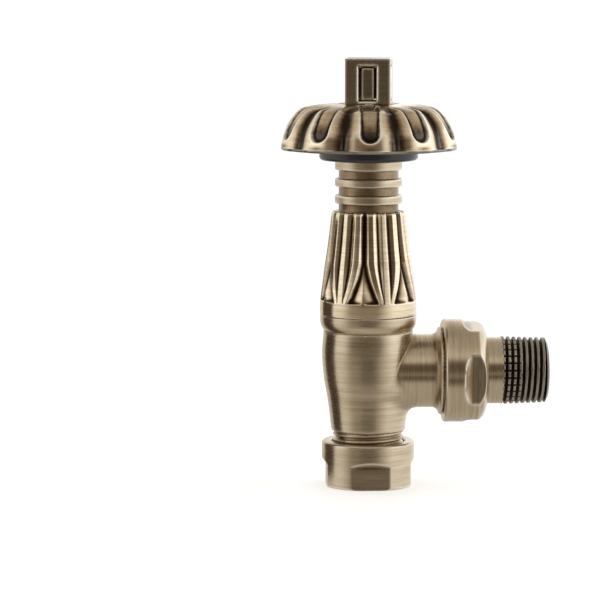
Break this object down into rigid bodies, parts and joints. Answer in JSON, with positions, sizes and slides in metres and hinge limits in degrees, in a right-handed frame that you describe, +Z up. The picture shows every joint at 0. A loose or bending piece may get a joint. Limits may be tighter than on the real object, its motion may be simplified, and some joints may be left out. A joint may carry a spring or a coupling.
{
  "type": "angled radiator valve",
  "caption": "Angled radiator valve with a lobed handwheel head, fluted shroud, ribbed neck, threaded union tail and a compression nut for the pipe.",
  "frame": {"origin": "centre of the compression nut's bottom face, on the axis of the inlet, neck and handwheel", "axes": "+Z up along the inlet, neck and handwheel axis; +X out along the tail that screws into the radiator"},
  "size_m": [0.085, 0.0566, 0.1352],
  "materials": {
    "antique_brass": "antique brass, brushed, dark patina in the recesses",
    "raw_brass": "plain turned brass",
    "dark_plastic": "black, slightly glossy",
    "white_plastic": "natural acetal",
    "seal_rubber": "black nitrile",
    "spring_steel": "bright spring steel",
    "capsule_metal": "bare, drawn"
  },
  "bodies": {
    "valve": {"valve_body": "antique_brass", "valve_insert": "raw_brass", "insert_o_ring": "seal_rubber", "gland_nut": "raw_brass", "gland_o_ring": "seal_rubber", "return_spring": "spring_steel", "collar_ring": "antique_brass", "ribbed_neck": "antique_brass", "bearing_ring": "dark_plastic", "wheel_circlip": "spring_steel"},
    "tail": {"tail_piece": "antique_brass", "tail_o_ring": "seal_rubber"},
    "union": {"union_nut": "antique_brass"},
    "pipe_olive": {"olive": "raw_brass"},
    "pipe_nut": {"compression_nut": "antique_brass"},
    "captive_ring": {"friction_ring": "white_plastic"},
    "shroud": {"fluted_shroud": "antique_brass"},
    "wheel": {"handwheel": "antique_brass", "sensor_cage": "antique_brass", "cage_core": "antique_brass"},
    "carrier": {"setting_carrier": "white_plastic", "sensor_capsule": "capsule_metal"},
    "spindle": {"valve_spindle": "raw_brass", "disc_holder": "raw_brass", "valve_disc": "seal_rubber", "disc_screw": "raw_brass", "push_pin": "white_plastic"}
  },
  "joints": [
    {"name": "wheel_turn", "type": "hinge", "parent": "valve", "child": "wheel", "pos_m": [0, 0, 0.1066], "axis": [0, 0, 1], "range_deg": [-180, 120]},
    {"name": "carrier_travel", "type": "slide", "parent": "wheel", "child": "carrier", "axis": [0, 0, 1], "range_m": [-0.00151, 0.00101]},
    {"name": "spindle_travel", "type": "slide", "parent": "valve", "child": "spindle", "axis": [0, 0, 1], "range_m": [-0.00151, 0.00101], "deforming": ["return_spring"]},
    {"name": "shroud_rise", "type": "slide", "parent": "valve", "child": "captive_ring", "axis": [0, 0, 1], "range_m": [0, 0.0021]},
    {"name": "shroud_turn", "type": "hinge", "parent": "captive_ring", "child": "shroud", "pos_m": [0, 0, 0.0667], "axis": [0, 0, 1], "range_deg": [0, 495]},
    {"name": "tail_travel", "type": "slide", "parent": "valve", "child": "tail", "axis": [1, 0, 0], "range_m": [0, 0.00727]},
    {"name": "union_nut_turn", "type": "hinge", "parent": "tail", "child": "union", "pos_m": [0.03035, 0, 0.0363], "axis": [1, 0, 0], "range_deg": [0, 1440]},
    {"name": "olive_travel", "type": "slide", "parent": "valve", "child": "pipe_olive", "axis": [0, 0, -1], "range_m": [0, 0.00546]},
    {"name": "pipe_nut_turn", "type": "hinge", "parent": "pipe_olive", "child": "pipe_nut", "pos_m": [0, 0, 0.007], "axis": [0, 0, -1], "range_deg": [0, 1080]}
  ],
  "couplings": [
    {"joint": "carrier_travel", "follows": "wheel_turn", "m_per_rad": 0.00047746},
    {"joint": "spindle_travel", "follows": "wheel_turn", "m_per_rad": 0.00047746},
    {"joint": "shroud_rise", "follows": "shroud_turn", "m_per_rad": 0.00023873},
    {"joint": "tail_travel", "follows": "union_nut_turn", "m_per_rad": 0.00028871},
    {"joint": "olive_travel", "follows": "pipe_nut_turn", "m_per_rad": 0.00028871}
  ]
}
